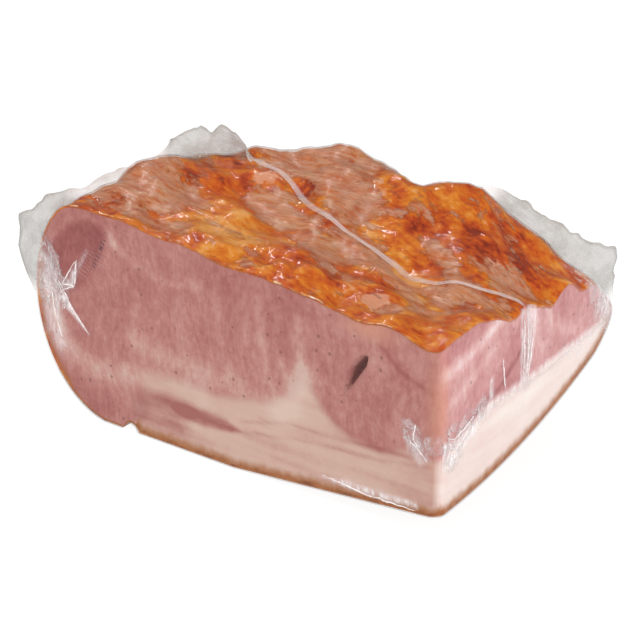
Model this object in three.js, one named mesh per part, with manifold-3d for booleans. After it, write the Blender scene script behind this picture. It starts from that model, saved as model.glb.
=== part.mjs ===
// A block of smoked shoulder ham, cut square on two sides and sealed in clear shrink film.
// The skin side lies down. Two flat cuts meet at one upright corner; the smoked outside rounds
// off the far end and the back. Under the meat runs the fat with its rind. Where the film clings
// it is far too thin for a solid of its own, so only what stands free of the ham is modelled:
// the lap of the film with its ear, the fold along the short cut and the ear behind that.
// Millimetres, +Z up. While it is shaped, x = 0 and y = 0 are the two cut faces and z = 0 is
// the table; the finished group stands on the origin with its box centred over it.

import * as THREE from "three";
import { mergeVertices } from "three/addons/utils/BufferGeometryUtils.js";
import Module from "manifold-3d";

const wasm = await Module();
wasm.setup();

const longCut = 228; // the big cut face, corner to rounded end
const shortCut = 148; // the small cut face, corner to thin back end
const planPower = 3.3; // how square the rounded plan is
const cornerTop = 89; // height of the upright corner between the cuts
const topRise = 0.1; // the top climbs this much for each mm towards the round end
const backFall = 0.0011; // and falls by this times y squared along the short cut
const cornerLift = 11; // the rind lifts this far off the table at the corner
const liftReach = 115; // over this length of the long cut
const liftSkew = 0.45; // and over this much less for each mm towards the back
const backCurl = 0.0015; // the rind curls up by this times the distance squared
const curlStart = 70; // from this far back, except near the short cut
const curlSkew = 0.8; // where it starts this many mm back for each mm from that face
const beltAtEnd = 58; // height of the widest line, at the round end
const beltAtBack = 54; // and at the back of the short cut
const topFlat = 0.85; // share of the plan before the top starts to round over
const soleFlatEnd = 0.8; // the same for the underside, at the round end
const soleFlatBack = 0.88; // and at the back
const cornerRadius = 5; // the upright corner is pressed round by the film
const gap = 0.3; // clearance between touching solids

// Muscles that swell out of the smoked top: place, half length, half width, turn, height.
const lobes = [
  { x: -112, y: 104, long: 56, wide: 34, turn: -20, high: 18 },
  { x: -132, y: 120, long: 34, wide: 18, turn: 0, high: 6 },
  { x: -62, y: 112, long: 34, wide: 30, turn: 20, high: 22 },
  { x: -190, y: 84, long: 44, wide: 32, turn: 60, high: 8 },
  { x: -205, y: 46, long: 22, wide: 16, turn: 0, high: 4 },
  { x: -26, y: 78, long: 30, wide: 18, turn: 70, high: 6 },
  { x: -52, y: 116, long: 12, wide: 14, turn: 0, high: 6 },
  { x: -24, y: 126, long: 16, wide: 18, turn: 0, high: 9 },
  { x: -99, y: 20, long: 36, wide: 18, turn: 10, high: 3 },
  { x: -4, y: 24, long: 22, wide: 16, turn: 0, high: 4 },
  { x: -4, y: 105, long: 18, wide: 9, turn: 0, high: 3 },
];

// Hollows between the muscles, which the film bridges.
const hollows = [
  { x: -90, y: 118, long: 26, wide: 8, turn: -55, high: -12 },
  { x: -132, y: 58, long: 52, wide: 11, turn: -22, high: -6 },
  { x: -62, y: 58, long: 40, wide: 10, turn: -35, high: -7 },
  { x: -25, y: 30, long: 26, wide: 9, turn: 40, high: -4 },
  { x: -4, y: 89, long: 18, wide: 6, turn: 0, high: -5 },
];

// Folds of the smoked surface, as waves: length, direction, height.
const folds = [
  { wave: 41, turn: 25, high: 1.2 },
  { wave: 29, turn: 112, high: 0.9 },
  { wave: 19, turn: 68, high: 0.6 },
];

// Upper limit of the fat along the long cut, from the upright corner, and along the short one.
const fatOnLongCut = [
  [0, 36], [17, 38], [30, 33], [46, 34], [57, 39], [65, 50], [71, 57], [76, 46], [92, 37],
  [110, 35], [130, 33], [146, 34], [159, 30], [164, 18], [170, 2], [178, -20], [190, -50],
];
const fatOnShortCut = [
  [0, 36], [12, 42], [31, 46], [38, 49], [51, 48], [87, 49], [117, 51], [141, 53], [160, 54],
];
const fatEndTurn = 0.1; // the fat's far end slants by this many mm for each mm back
const wedgeDepth = 26; // the white wedge in the long cut fades out over this depth

const slit = { x: -43, z: 66, long: 20, wide: 5, deep: 7, lean: 31 }; // parted muscle, long cut
const notch = { x: -172, radius: 4.4, deep: 26 }; // groove where the rind ends

const filmThickness = 0.8;
const filmRoot = 3; // the film is drawn from this far inside the ham, then trimmed
const filmStep = 4; // spacing of its points along the path
const filmRows = 3;

const rad = THREE.MathUtils.degToRad;
const mix = THREE.MathUtils.lerp;

// Distance from the upright corner to the plan outline, psi from the long cut to the short one.
function planRadius(psi) {
  const c = (Math.cos(psi) / longCut) ** planPower;
  const s = (Math.sin(psi) / shortCut) ** planPower;
  return (c + s) ** (-1 / planPower);
}

function swell(list, x, y) {
  return list.reduce((sum, { x: cx, y: cy, long, wide, turn, high }) => {
    const c = Math.cos(rad(turn));
    const s = Math.sin(rad(turn));
    const u = ((x - cx) * c + (y - cy) * s) / long;
    const v = ((y - cy) * c - (x - cx) * s) / wide;
    return sum + high * Math.exp(-u * u - v * v);
  }, 0);
}

function foldHeight(x, y) {
  const warp = 9 * Math.sin(x / 31) * Math.cos(y / 23);
  return folds.reduce((sum, { wave, turn, high }) => {
    const along = x * Math.cos(rad(turn)) + y * Math.sin(rad(turn)) + warp;
    return sum + high * Math.sin((2 * Math.PI * along) / wave);
  }, 0);
}

// Height of the smoked top, before it rounds over at the outline.
function crown(x, y) {
  const nearShortCut = Math.exp(-((x / 105) ** 2));
  const base = cornerTop - topRise * x - backFall * y * y * mix(0.35, 1, nearShortCut);
  return base + swell(lobes, x, y) + swell(hollows, x, y) + foldHeight(x, y);
}

// Height of the rind side: flat on the table, lifting to the corner and curling up at the back.
function sole(x, y) {
  const reach = liftReach - liftSkew * Math.min(y, curlStart);
  const lift = cornerLift * Math.max(0, 1 + x / reach);
  const back = Math.max(0, y - Math.min(curlStart, -curlSkew * x));
  return lift + backCurl * back * back;
}

const beltHeight = (psi) => mix(beltAtEnd, beltAtBack, Math.sin(psi) ** 2);
const soleFlat = (psi) => mix(soleFlatEnd, soleFlatBack, Math.sin(psi) ** 2);

// A point of the outside at share rho of the plan radius: on top for side 1, underneath for -1.
function skin(rho, psi, side, grow = 0) {
  const reach = planRadius(psi) * rho;
  const x = -reach * Math.cos(psi);
  const y = reach * Math.sin(psi);
  const flat = side > 0 ? topFlat : soleFlat(psi);
  const over = Math.max(0, (rho - flat) / (1 - flat));
  const q = Math.sqrt(Math.max(0, 1 - over * over));
  const belt = beltHeight(psi);
  const full = side > 0 ? crown(x, y) + grow : sole(x, y) - grow;
  const wider = (rho * grow) / planRadius(psi);
  return new THREE.Vector3(x * (1 + wider), y * (1 + wider), mix(belt, full, q));
}

// Evenly spaced steps along a plan radius, closer together where the side rounds over.
function radialStep(u) {
  const bend = 0.72;
  const flat = 0.8;
  if (u <= bend) return (flat * u) / bend;
  return flat + (1 - flat) * Math.sin(((u - bend) / (1 - bend)) * (Math.PI / 2));
}

// Square grid places (a, b) spread over the quarter plan, so that no cell shrinks to a sliver.
function planPlace(a, b) {
  const m = Math.max(a, b);
  if (m === 0) return [0, 0];
  const psi = a >= b ? (Math.PI / 4) * (b / a) : Math.PI / 2 - (Math.PI / 4) * (a / b);
  return [radialStep(m), psi];
}

// Vertices and triangles of one closed surface, as they are collected.
function shell() {
  const verts = [];
  const faces = [];
  const add = (p) => verts.push(p.x, p.y, p.z) / 3 - 1;
  const at = (k) => new THREE.Vector3(...verts.slice(3 * k, 3 * k + 3));
  const quad = (a, b, c, d) => faces.push(a, b, c, a, c, d);
  return { verts, faces, add, at, quad };
}

// The whole block: top and underside grids that share the belt, closed by the two cut faces.
function blockSolid(cellsLong, cellsShort, layers, grow = 0) {
  const { verts, faces, add, at, quad } = shell();
  const grid = (side) => {
    const rows = [];
    for (let i = 0; i <= cellsLong; i++) {
      const row = [];
      for (let j = 0; j <= cellsShort; j++) {
        const [rho, psi] = planPlace(i / cellsLong, j / cellsShort);
        const p = skin(rho, psi, side, grow);
        if (i === 0) p.x = grow;
        if (j === 0) p.y = -grow;
        row.push(add(p));
      }
      rows.push(row);
    }
    return rows;
  };
  const top = grid(1);
  const low = grid(-1);
  for (let i = 0; i < cellsLong; i++) {
    for (let j = 0; j < cellsShort; j++) {
      quad(top[i][j], top[i][j + 1], top[i + 1][j + 1], top[i + 1][j]);
      quad(low[i][j], low[i + 1][j], low[i + 1][j + 1], low[i][j + 1]);
    }
  }
  const column = (t, l) => {
    const steps = [l];
    for (let k = 1; k < layers; k++) steps.push(add(at(l).lerp(at(t), k / layers)));
    return [...steps, t];
  };
  const corner = column(top[0][0], low[0][0]);
  const wall = (tops, lows, turned) => {
    const columns = tops.map((t, k) => (k === 0 ? corner : column(t, lows[k])));
    for (let i = 0; i + 1 < columns.length; i++) {
      const [p, q] = turned ? [columns[i], columns[i + 1]] : [columns[i + 1], columns[i]];
      for (let k = 0; k < layers; k++) quad(p[k], q[k], q[k + 1], p[k + 1]);
    }
  };
  wall(top.map((row) => row[0]), low.map((row) => row[0]), false);
  wall(top[0], low[0], true);
  return solidFrom(verts, faces);
}

function solidFrom(verts, faces) {
  const geometry = new THREE.BufferGeometry();
  geometry.setAttribute("position", new THREE.Float32BufferAttribute(verts, 3));
  geometry.setIndex(faces);
  return solidOf(geometry);
}

function solidOf(geometry) {
  geometry.deleteAttribute("normal");
  geometry.deleteAttribute("uv");
  const merged = mergeVertices(geometry, 1e-4);
  return new wasm.Manifold(
    new wasm.Mesh({
      numProp: 3,
      vertProperties: merged.attributes.position.array,
      triVerts: new Uint32Array(merged.index.array),
    }),
  );
}

function geometryOf(solid) {
  const mesh = solid.getMesh();
  const geometry = new THREE.BufferGeometry();
  geometry.setAttribute("position", new THREE.Float32BufferAttribute(mesh.vertProperties, 3));
  geometry.setIndex(new THREE.Uint32BufferAttribute(mesh.triVerts, 1));
  return geometry;
}

// A value read off a line of [distance, value] points.
function along(line, distance) {
  let k = 1;
  while (k < line.length - 1 && line[k][0] < distance) k++;
  const [[d0, v0], [d1, v1]] = [line[k - 1], line[k]];
  return mix(v0, v1, (distance - d0) / (d1 - d0));
}

// Height of the fat's upper limit anywhere in the block, out of its two lines at the cuts.
function fatTop(x, y) {
  const front = along(fatOnLongCut, Math.max(0, -x - fatEndTurn * y));
  const side = along(fatOnShortCut, Math.max(0, y));
  const plain = 36;
  const wedge = (front - plain) * (front > plain ? Math.exp(-((y / wedgeDepth) ** 2)) : 1);
  return side + wedge;
}

// Everything under the fat's upper limit, pushed off it by half the clearance either way.
function underFatTop(push) {
  const { verts, faces, add, quad } = shell();
  const [cellsLong, cellsShort] = [46, 18];
  const [reachLong, reachShort, bottom] = [196, 172, -60];
  const place = (i, j) => {
    const x = 8 - (reachLong * i) / cellsLong;
    const y = -8 + (reachShort * j) / cellsShort;
    const slopeX = fatTop(x + 0.5, y) - fatTop(x - 0.5, y);
    const slopeY = fatTop(x, y + 0.5) - fatTop(x, y - 0.5);
    const normal = new THREE.Vector3(-slopeX, -slopeY, 1).normalize();
    return new THREE.Vector3(x, y, Math.max(bottom + 5, fatTop(x, y))).addScaledVector(normal, push);
  };
  const rows = [];
  const floor = [];
  for (let i = 0; i <= cellsLong; i++) {
    rows.push([]);
    floor.push([]);
    for (let j = 0; j <= cellsShort; j++) {
      const p = place(i, j);
      rows[i].push(add(p));
      floor[i].push(add(p.setZ(bottom)));
    }
  }
  for (let i = 0; i < cellsLong; i++) {
    for (let j = 0; j < cellsShort; j++) {
      quad(rows[i][j], rows[i][j + 1], rows[i + 1][j + 1], rows[i + 1][j]);
      quad(floor[i][j], floor[i + 1][j], floor[i + 1][j + 1], floor[i][j + 1]);
    }
    quad(floor[i + 1][0], floor[i][0], rows[i][0], rows[i + 1][0]);
    quad(floor[i][cellsShort], floor[i + 1][cellsShort], rows[i + 1][cellsShort], rows[i][cellsShort]);
  }
  for (let j = 0; j < cellsShort; j++) {
    quad(floor[0][j], floor[0][j + 1], rows[0][j + 1], rows[0][j]);
    quad(floor[cellsLong][j + 1], floor[cellsLong][j], rows[cellsLong][j], rows[cellsLong][j + 1]);
  }
  return solidFrom(verts, faces);
}

// What the film's pressure rounds off the upright corner.
function cornerWaste() {
  const r = cornerRadius;
  const outline = new THREE.Shape();
  outline.moveTo(-r, -1);
  outline.lineTo(1, -1);
  outline.lineTo(1, r);
  outline.lineTo(0, r);
  outline.absarc(-r, r, r, 0, -Math.PI / 2, true);
  return solidOf(new THREE.ExtrudeGeometry(outline, { depth: 150, bevelEnabled: false, curveSegments: 5 }));
}

function slitPocket() {
  const pocket = new THREE.SphereGeometry(0.5, 12, 8);
  pocket.scale(slit.wide, 2 * slit.deep, slit.long);
  pocket.rotateY(rad(slit.lean));
  pocket.translate(slit.x, 0, slit.z);
  return solidOf(pocket);
}

function notchGroove() {
  const groove = new THREE.CapsuleGeometry(notch.radius, 2 * notch.deep, 3, 14);
  groove.translate(notch.x, 0, 0);
  return solidOf(groove);
}

// A point of the top over a plan place, with the way straight off the ham there.
function onTop(x, y) {
  const psi = Math.atan2(Math.max(y, 0), -Math.min(x, -1e-6));
  const rho = Math.min(0.999, Math.hypot(x, y) / planRadius(psi));
  const at = skin(rho, psi, 1);
  const inward = skin(rho - 0.002, psi, 1).sub(at);
  const aside = skin(rho, psi + (psi > 1 ? -0.02 : 0.02), 1).sub(at);
  const normal = inward.cross(aside).normalize();
  if (normal.z < 0) normal.negate();
  return { at, normal };
}

const onShortCut = (y, z) => ({ at: new THREE.Vector3(0, y, z), normal: new THREE.Vector3(1, 0, 0) });

// Even steps along a smooth line through the given plan or face places: [a, b, width of film].
function stepsAlong(places, toSurface) {
  const curve = new THREE.CatmullRomCurve3(places.map((p) => new THREE.Vector3(...p)), false, "centripetal");
  const count = Math.round(curve.getLength() / filmStep);
  return curve.getSpacedPoints(count).map((p) => ({ ...toSurface(p.x, p.y), width: p.z }));
}

// A standing fin of film along the steps, its free edge waving from side to side.
function fin(steps, waves) {
  const { verts, faces, add, quad } = shell();
  const near = (k) => steps[Math.min(Math.max(k, 0), steps.length - 1)];
  const rows = steps.map(({ at, width }, k) => {
    const normal = new THREE.Vector3();
    for (let away = -2; away <= 2; away++) normal.addScaledVector(near(k + away).normal, 3 - Math.abs(away));
    normal.normalize();
    const side = near(k + 1).at.clone().sub(near(k - 1).at).cross(normal).normalize();
    return [-1, 1].map((face) => {
      const row = [];
      for (let m = 0; m <= filmRows; m++) {
        const out = mix(-filmRoot, width, m / filmRows);
        const sway = waves(k) * Math.max(0, out / 10);
        const offset = (face * filmThickness) / 2 + sway;
        row.push(add(at.clone().addScaledVector(normal, out).addScaledVector(side, offset)));
      }
      return row;
    });
  });
  for (let k = 0; k + 1 < rows.length; k++) {
    const [[p, q], [r, s]] = [rows[k], rows[k + 1]];
    for (let m = 0; m < filmRows; m++) {
      quad(p[m], p[m + 1], r[m + 1], r[m]);
      quad(q[m], s[m], s[m + 1], q[m + 1]);
    }
    quad(q[0], p[0], r[0], s[0]);
    quad(p[filmRows], q[filmRows], s[filmRows], r[filmRows]);
  }
  const cap = ([p, q], turned) => {
    for (let m = 0; m < filmRows; m++) {
      if (turned) quad(p[m], p[m + 1], q[m + 1], q[m]);
      else quad(p[m], q[m], q[m + 1], p[m + 1]);
    }
  };
  cap(rows[0], false);
  cap(rows[rows.length - 1], true);
  return solidFrom(verts, faces);
}

// The lap climbs the rounded end, stands up as an ear, then crosses the top to the short cut
// and runs down it. Each point is a place on that surface and the width the film stands out.
const lapOverTop = [
  [-228, 1, 2], [-227, 1, 8], [-225, 2, 15], [-221, 4, 15], [-215, 8, 9], [-207, 28, 6],
  [-205, 42, 1.5], [-199, 52, 1.5], [-196, 62, 8], [-191, 71, 15], [-188, 79, 16],
  [-185, 84, 11], [-180, 88, 15], [-174, 90, 14], [-168, 90, 8], [-160, 90, 3.5],
  [-137, 83, 3], [-107, 66, 3], [-90, 61, 3], [-62, 60, 3], [-36, 52, 3], [-25, 54, 3],
  [-12, 64, 3], [-1, 70, 3],
];
const lapDownShortCut = [[70, 79, 3], [70, 68, 3], [67, 47, 2.5]];

// The fold follows the fat along the short cut, then rises behind it as the other ear.
const foldOnShortCut = [
  [8, 36, 3], [16, 43, 3], [30, 47, 3], [38, 50, 3], [52, 48, 3], [68, 49, 3], [88, 48, 3],
  [104, 50, 3], [120, 51, 3], [141, 52, 3],
];
const earBehindShortCut = [
  [-1, 146, 4], [-1, 140, 9], [-1, 134, 15], [-3, 131, 18], [-9, 131, 15], [-21, 129, 13],
  [-31, 128, 9], [-40, 124, 9], [-48, 120, 7], [-54, 115, 1.5],
];

function filmSolid(ham) {
  const lap = [...stepsAlong(lapOverTop, onTop), ...stepsAlong(lapDownShortCut, onShortCut)];
  const fold = [...stepsAlong(foldOnShortCut, onShortCut), ...stepsAlong(earBehindShortCut, onTop)];
  const lapFin = fin(lap, (k) => 1.2 * Math.sin(k * 0.8) + 0.8 * Math.sin(k * 1.7 + 1));
  const foldFin = fin(fold, (k) => 1.2 * Math.sin(k * 0.9 + 2) + 0.7 * Math.sin(k * 1.8));
  return lapFin.add(foldFin).subtract(ham);
}

const blockCells = [40, 28, 6]; // along the long cut, along the short cut, up the cut faces
const whole = blockSolid(...blockCells);
const block = whole.subtract(cornerWaste()).subtract(slitPocket()).subtract(notchGroove());
const solids = [
  { name: "meat", colour: 0xc4777a, solid: block.subtract(underFatTop(gap / 2)) },
  { name: "fat_cap", colour: 0xe6c3ae, solid: block.intersect(underFatTop(-gap / 2)) },
  { name: "film", colour: 0xdfe3e6, solid: filmSolid(blockSolid(...blockCells, gap)), clear: true },
];

const group = new THREE.Group();
for (const { name, colour, solid, clear } of solids) {
  const material = new THREE.MeshStandardMaterial({ color: colour, roughness: 0.4 });
  if (clear) Object.assign(material, { transparent: true, opacity: 0.35 });
  const mesh = new THREE.Mesh(geometryOf(solid), material);
  mesh.name = name;
  group.add(mesh);
}

const box = new THREE.Box3().setFromObject(group);
const centre = box.getCenter(new THREE.Vector3());
group.children.forEach((mesh) => mesh.geometry.translate(-centre.x, -centre.y, -box.min.z));
export default group;
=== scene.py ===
import math

import bmesh
import bpy
import numpy as np
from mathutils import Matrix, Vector, kdtree, noise


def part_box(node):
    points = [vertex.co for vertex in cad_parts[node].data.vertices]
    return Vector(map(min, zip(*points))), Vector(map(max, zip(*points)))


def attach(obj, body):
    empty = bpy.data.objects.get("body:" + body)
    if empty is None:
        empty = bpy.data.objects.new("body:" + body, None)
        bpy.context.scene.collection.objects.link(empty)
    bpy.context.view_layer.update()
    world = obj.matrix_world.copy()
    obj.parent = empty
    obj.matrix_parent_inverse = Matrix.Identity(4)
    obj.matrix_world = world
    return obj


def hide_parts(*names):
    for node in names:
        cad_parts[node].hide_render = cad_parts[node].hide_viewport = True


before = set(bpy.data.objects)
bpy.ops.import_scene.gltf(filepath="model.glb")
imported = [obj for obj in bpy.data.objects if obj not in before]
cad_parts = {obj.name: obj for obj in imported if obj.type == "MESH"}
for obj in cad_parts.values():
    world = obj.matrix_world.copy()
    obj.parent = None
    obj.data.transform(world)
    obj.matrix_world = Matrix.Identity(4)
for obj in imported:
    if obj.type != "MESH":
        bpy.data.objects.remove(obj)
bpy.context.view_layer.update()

# The lean
# A block cut from a cured and smoked pig's shoulder. A saw made its two flat, upright cuts,
# which meet at one corner; everything else is the outside, browned and wrinkled in the smoke.
# Shapes here are in millimetres from the foot of that corner, with the long cut along -X.

MM = 0.001
meat_low, meat_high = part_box("meat")
corner_foot = np.array([meat_high.x, meat_low.y, 0.0])

long_cut = 228.0
short_cut = 148.0
plan_power = 3.3
corner_top = 89.0
top_rise = 0.1
back_fall = 0.0011
back_fall_reach = 105
back_fall_left = 0.35
fold_sway = 9
corner_lift = 11.0
lift_reach = 115.0
lift_skew = 0.45
back_curl = 0.0015
curl_start = 70.0
curl_skew = 0.8
belt_at_end = 58.0
belt_at_back = 54.0
top_flat = 0.85
sole_flat_end = 0.8
sole_flat_back = 0.88
corner_radius = 5.0
film_gap = 0.45
table_gap = 0.05

# Swells and hollows of the top: place, half length, half width, turn in degrees, height.
top_lobes = [
    (-112, 104, 56, 34, -20, 18),
    (-132, 120, 34, 18, 0, 6),
    (-62, 112, 34, 30, 20, 22),
    (-190, 84, 44, 32, 60, 8),
    (-205, 46, 22, 16, 0, 4),
    (-26, 78, 30, 18, 70, 6),
    (-52, 116, 12, 14, 0, 6),
    (-24, 126, 16, 18, 0, 9),
    (-99, 20, 36, 18, 10, 3),
    (-4, 24, 22, 16, 0, 4),
    (-4, 105, 18, 9, 0, 3),
    (-90, 118, 26, 8, -55, -12),
    (-132, 58, 52, 11, -22, -6),
    (-62, 58, 40, 10, -35, -7),
    (-25, 30, 26, 9, 40, -4),
    (-4, 89, 18, 6, 0, -5),
]
# Smaller knobs and dents, which the film shows up by their gloss.
top_knobs = [
    (-120, 11, 6, 5, 20, 1.8),
    (-104, 10, 6, 5, -10, 2.2),
    (-90, 14, 7, 5, 30, 1.8),
    (-78, 12, 6, 5, 0, 2.0),
    (-97, 9, 2.5, 7, 0, -1.6),
    (-84, 10, 2.5, 8, 15, -1.6),
    (-112, 10, 2.5, 7, -10, -1.6),
    (-168, 66, 12, 7, 35, 2.6),
    (-176, 52, 7, 3, 30, -1.6),
    (-58, 24, 12, 6, -30, 1.6),
    (-46, 20, 6, 3, 40, -1.4),
    (-26, 14, 9, 6, 40, 1.6),
    (-36, 92, 16, 12, 30, 2.6),
    (-64, 84, 8, 4, 60, -1.4),
]
top_hollows = [lobe for lobe in top_lobes if lobe[-1] < 0]
# Long folds of the whole top: wave length, turn in degrees, height.
top_folds = [(41, 25, 1.2), (29, 112, 0.9), (19, 68, 0.6)]

# Upper limit of the fat, from the upright corner: along the long cut and along the short one.
fat_on_long_cut = np.array([
    (0, 36), (17, 38), (30, 33), (46, 34), (57, 39), (65, 50), (71, 57), (76, 46), (92, 37),
    (110, 35), (130, 33), (146, 34), (159, 30), (164, 18), (170, 2), (178, -20), (190, -50),
])
fat_on_short_cut = np.array([
    (0, 36), (12, 42), (31, 46), (38, 49), (51, 48), (87, 49), (117, 51), (141, 53), (160, 54),
])
slit_outline = [
    (-37, 77.2), (-40.5, 75.6), (-45.2, 69.6), (-47.4, 63.4), (-49.2, 55.4), (-45.0, 61.2),
    (-41.2, 66.9), (-37.8, 72.3),
]
slit_deep = 7.0
slit_rim = 2.1
groove = dict(x=-172, radius=4.4, deep=26)


def plan_radius(psi):
    c = (np.cos(psi) / long_cut) ** plan_power
    s = (np.sin(psi) / short_cut) ** plan_power
    return (c + s) ** (-1 / plan_power)


def swells(table, x, y):
    total = np.zeros_like(x)
    for cx, cy, long, wide, turn, high in table:
        c = math.cos(math.radians(turn))
        s = math.sin(math.radians(turn))
        u = ((x - cx) * c + (y - cy) * s) / long
        v = ((y - cy) * c - (x - cx) * s) / wide
        total = total + high * np.exp(-u * u - v * v)
    return total


def crown(x, y):
    near_short_cut = np.exp(-((x / back_fall_reach) ** 2))
    share = back_fall_left + (1 - back_fall_left) * near_short_cut
    base = corner_top - top_rise * x - back_fall * y * y * share
    warp = fold_sway * np.sin(x / 31) * np.cos(y / 23)
    for wave, turn, high in top_folds:
        angle = math.radians(turn)
        along = x * math.cos(angle) + y * math.sin(angle) + warp
        base = base + high * np.sin(2 * math.pi * along / wave)
    return base + swells(top_lobes, x, y)


def sole(x, y):
    reach = lift_reach - lift_skew * np.minimum(y, curl_start)
    lift = corner_lift * np.maximum(0, 1 + x / reach)
    back = np.maximum(0, y - np.minimum(curl_start, -curl_skew * x))
    dent = np.sqrt(np.maximum(0, groove["radius"] ** 2 - (x - groove["x"]) ** 2))
    fade = np.clip(1.5 - 1.5 * y / groove["deep"], 0, 1)
    return lift + back_curl * back * back + dent * fade


def skin(rho, psi, top, grow=0.0, relief=None):
    """Points of the outside at share rho of the plan radius, on top or underneath."""
    reach = plan_radius(psi) * rho
    x = -reach * np.cos(psi)
    y = reach * np.sin(psi)
    turned = np.sin(psi) ** 2
    belt = belt_at_end + (belt_at_back - belt_at_end) * turned
    if top:
        flat = top_flat
        full = crown(x, y) + grow
        if relief:
            full = full + relief(x, y)
    else:
        flat = sole_flat_end + (sole_flat_back - sole_flat_end) * turned
        full = sole(x, y) - grow
    over = np.maximum(0, (rho - flat) / (1 - flat))
    q = np.sqrt(np.maximum(0, 1 - over * over))
    wider = 1 + rho * grow / plan_radius(psi)
    return np.stack([x * wider, y * wider, belt + (full - belt) * q], -1)


def round_corner(points, radius):
    """Bends the plan places near the upright corner onto arcs round (-radius, radius)."""
    u, v = -points[..., 0], points[..., 1]
    near = (u < radius) & (v < radius)
    from_wall = np.minimum(u, v)
    ring = np.maximum(radius - from_wall, 1e-6)
    angle = math.pi / 4 * np.clip(1 - (np.maximum(u, v) - from_wall) / ring, 0, 1)
    across = radius - ring * np.cos(angle)
    length = radius - ring * np.sin(angle)
    front = v <= u
    points[..., 0] = np.where(near, -np.where(front, length, across), points[..., 0])
    points[..., 1] = np.where(near, np.where(front, across, length), points[..., 1])
    return points


def plan_places(cells_long, cells_short):
    """A square grid spread over the quarter plan, closer together where the side rounds over."""
    a, b = np.meshgrid(
        np.linspace(0, 1, cells_long + 1), np.linspace(0, 1, cells_short + 1), indexing="ij"
    )
    m = np.maximum(a, b)
    safe_a = np.maximum(a, 1e-9)
    safe_b = np.maximum(b, 1e-9)
    psi = np.where(a >= b, math.pi / 4 * b / safe_a, math.pi / 2 - math.pi / 4 * a / safe_b)
    psi = np.where(m == 0, 0, psi)
    bend, flat = 0.72, 0.8
    eased = np.sin(np.clip((m - bend) / (1 - bend), 0, 1) * math.pi / 2)
    rho = np.where(m <= bend, flat * m / bend, flat + (1 - flat) * eased)
    return rho, psi


def block_mesh(cells, grow=0.0, relief=None, radius=corner_radius):
    """Vertices, faces and cut marks of the closed block: its outside and its two cut faces."""
    cells_long, cells_short, layers = cells
    rho, psi = plan_places(cells_long, cells_short)
    top = skin(rho, psi, True, grow, relief)
    low = skin(rho, psi, False, grow)
    for side in (top, low):
        side[0, :, 0] = grow
        side[:, 0, 1] = -grow
    count = top[..., 0].size
    top_id = np.arange(count).reshape(top.shape[:2])
    low_id = top_id.copy()
    low_id[:-1, :-1] = count + np.arange(cells_long * cells_short).reshape(cells_long, cells_short)
    count += cells_long * cells_short
    verts = [top.reshape(-1, 3), low[:-1, :-1].reshape(-1, 3)]
    marks = [np.zeros(count)]
    faces = []

    def patch(ids, turned):
        a, b, c, d = ids[:-1, :-1], ids[1:, :-1], ids[1:, 1:], ids[:-1, 1:]
        order = (a, b, c, d) if turned else (a, d, c, b)
        faces.append(np.stack(order, -1).reshape(-1, 4))

    patch(top_id, False)
    patch(low_id, True)
    share = np.linspace(0, 1, layers + 1)[None, 1:-1, None]
    first_column = None
    for edge, turned in ((np.s_[:, 0], True), (np.s_[0, :], False)):
        inner = low[edge][:, None] + (top[edge] - low[edge])[:, None] * share
        ids = count + np.arange(inner[..., 0].size).reshape(inner.shape[:2])
        if first_column is not None:
            inner = inner[1:]
            ids = np.vstack([first_column[None], ids[:-1]])
        first_column = ids[0]
        count += inner[..., 0].size
        verts.append(inner.reshape(-1, 3))
        marks.append(np.ones(inner[..., 0].size))
        patch(np.hstack([low_id[edge][:, None], ids, top_id[edge][:, None]]), turned)
    verts = np.vstack(verts)
    shift = np.array([grow, -grow, 0])
    verts = round_corner(verts - shift, radius) + shift
    verts[:, 2] = np.maximum(verts[:, 2], film_gap - grow + table_gap)
    return verts, np.vstack(faces), np.concatenate(marks)


def write(mesh, name, values):
    field = mesh.attributes.new(name, "FLOAT", "POINT")
    field.data.foreach_set("value", np.asarray(values, float).ravel())


def mesh_object(name, verts, faces, fields=None):
    """A named object at the origin from millimetre points, its doubles merged."""
    mesh = bpy.data.meshes.new(name)
    mesh.from_pydata((verts * MM + corner_foot).tolist(), [], faces.tolist())
    for field, values in (fields or {}).items():
        write(mesh, field, values)
    bm = bmesh.new()
    bm.from_mesh(mesh)
    bmesh.ops.remove_doubles(bm, verts=bm.verts, dist=1e-5)
    bmesh.ops.recalc_face_normals(bm, faces=bm.faces)
    bm.to_mesh(mesh)
    bm.free()
    mesh.shade_smooth()
    thing = bpy.data.objects.new(name, mesh)
    bpy.context.scene.collection.objects.link(thing)
    return thing


def rumples(x, y, scale, seed):
    """Smooth random heights, about -1 to 1, with lumps of a size in millimetres."""
    values = [noise.noise(Vector((a / scale, b / scale, seed))) for a, b in zip(x.flat, y.flat)]
    return np.array(values).reshape(x.shape)


def knobs(x, y):
    by_edge = np.exp(-((y / 22) ** 2)) * np.exp(-(((x + 95) / 60) ** 2))
    lumps = (1.3 + 2.4 * by_edge) * rumples(x, y, 11, 2.0) + (0.6 + by_edge) * rumples(x, y, 4.5, 7.0)
    calm = np.interp(y, [0, 6], [0.3, 1]) * np.interp(-x, [0, 6], [0.4, 1])
    return (swells(top_knobs, x, y) + lumps) * calm - 0.3 * swells(top_hollows, x, y)


def slit_share(x, z):
    """1 in the middle of the slit in the long cut, 0 on its rim, below 0 outside it."""
    return np.maximum(-1, -outline_distance(x, z, slit_outline) / slit_rim)


def open_slit(points, marks):
    """Parts the muscle in the long cut, with a shallow hollow above the slit."""
    x, z = points[:, 0], points[:, 2]
    hollow = 1.2 * np.exp(-(((x + 41) / 7) ** 2) - (((z - 79) / 6) ** 2))
    deep = slit_deep * np.clip((slit_share(x, z) + 0.15) / 1.15, 0, 1)
    on_long_cut = (marks > 0) & (np.abs(points[:, 1]) < 0.01)
    points[:, 1] += np.where(on_long_cut, np.maximum(deep, hollow), 0)
    return points


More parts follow.
